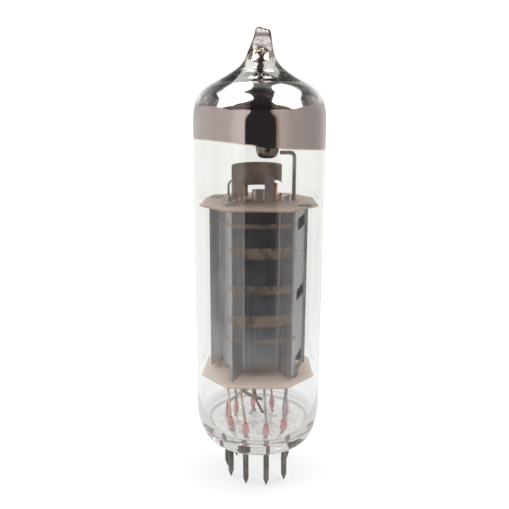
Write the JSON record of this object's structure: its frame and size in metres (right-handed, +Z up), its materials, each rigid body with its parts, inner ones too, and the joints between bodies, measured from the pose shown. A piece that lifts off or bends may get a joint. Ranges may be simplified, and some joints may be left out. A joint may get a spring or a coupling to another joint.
{
  "type": "vacuum tube",
  "caption": "Miniature all-glass pin-base output valve: clear bulb with a silvered dome, pleated grey anode between mica spacers, and pointed base pins.",
  "frame": {"origin": "centre of the pin circle on the flat glass underside, the seating plane", "axes": "+Z up the bulb to the sealed-off tip; +X through the wide gap in the pin circle, between the last pin and the first; pins count anticlockwise seen from above"},
  "size_m": [0.022, 0.022, 0.0785],
  "materials": {
    "bulb_glass": "clear blown tube glass, polished",
    "stem_glass": "clear pressed glass",
    "pin_metal": "dull, slightly oxidised",
    "seal_wire": "red copper-borate coated wire inside the glass seal",
    "lead_nickel": "drawn nickel wire, satin",
    "mica": "split mica sheet, slightly glossy",
    "anode_sheet": "carbonised nickel-plated steel sheet, grey, semi-matt",
    "grid_rod": "copper rod, satin",
    "nickel": "nickel, satin",
    "grid_wire": "fine drawn molybdenum wire",
    "cathode": "nickel sleeve with pale oxide coating",
    "heater_coat": "tungsten wire with white alumina coating",
    "radiator": "blackened nickel sheet, matt",
    "getter_metal": "pressed nickel-iron pan, discoloured by firing",
    "getter_film": "evaporated barium mirror, thinning at the edge"
  },
  "bodies": {
    "root": {"glass_bulb": "bulb_glass", "glass_stem": "stem_glass", "base_pin_1": "pin_metal", "base_pin_2": "pin_metal", "base_pin_3": "pin_metal", "base_pin_4": "pin_metal", "base_pin_5": "pin_metal", "base_pin_6": "pin_metal", "base_pin_7": "pin_metal", "base_pin_8": "pin_metal", "base_pin_9": "pin_metal", "seal_wire_1": "seal_wire", "seal_wire_2": "seal_wire", "seal_wire_3": "seal_wire", "seal_wire_4": "seal_wire", "seal_wire_5": "seal_wire", "seal_wire_6": "seal_wire", "seal_wire_7": "seal_wire", "seal_wire_8": "seal_wire", "seal_wire_9": "seal_wire", "inner_lead_1": "lead_nickel", "inner_lead_2": "lead_nickel", "inner_lead_3": "lead_nickel", "inner_lead_4": "lead_nickel", "inner_lead_5": "lead_nickel", "inner_lead_6": "lead_nickel", "inner_lead_7": "lead_nickel", "inner_lead_8": "lead_nickel", "inner_lead_9": "lead_nickel", "lower_mica": "mica", "upper_mica": "mica", "anode_front_half": "anode_sheet", "anode_rear_half": "anode_sheet", "control_grid_rod_left": "grid_rod", "control_grid_rod_right": "grid_rod", "control_grid_winding": "grid_wire", "screen_grid_rod_left": "grid_rod", "screen_grid_rod_right": "grid_rod", "screen_grid_winding": "grid_wire", "suppressor_grid_rod_left": "nickel", "suppressor_grid_rod_right": "nickel", "suppressor_grid_winding": "grid_wire", "cathode_sleeve": "cathode", "heater": "heater_coat", "anode_strap": "nickel", "cathode_strap": "grid_rod", "suppressor_strap": "nickel", "grid_radiator": "radiator", "radiator_strap": "radiator", "mica_hook": "lead_nickel", "getter_support_wire": "lead_nickel", "getter_cup": "getter_metal", "getter_film": "getter_film"}
  },
  "joints": []
}
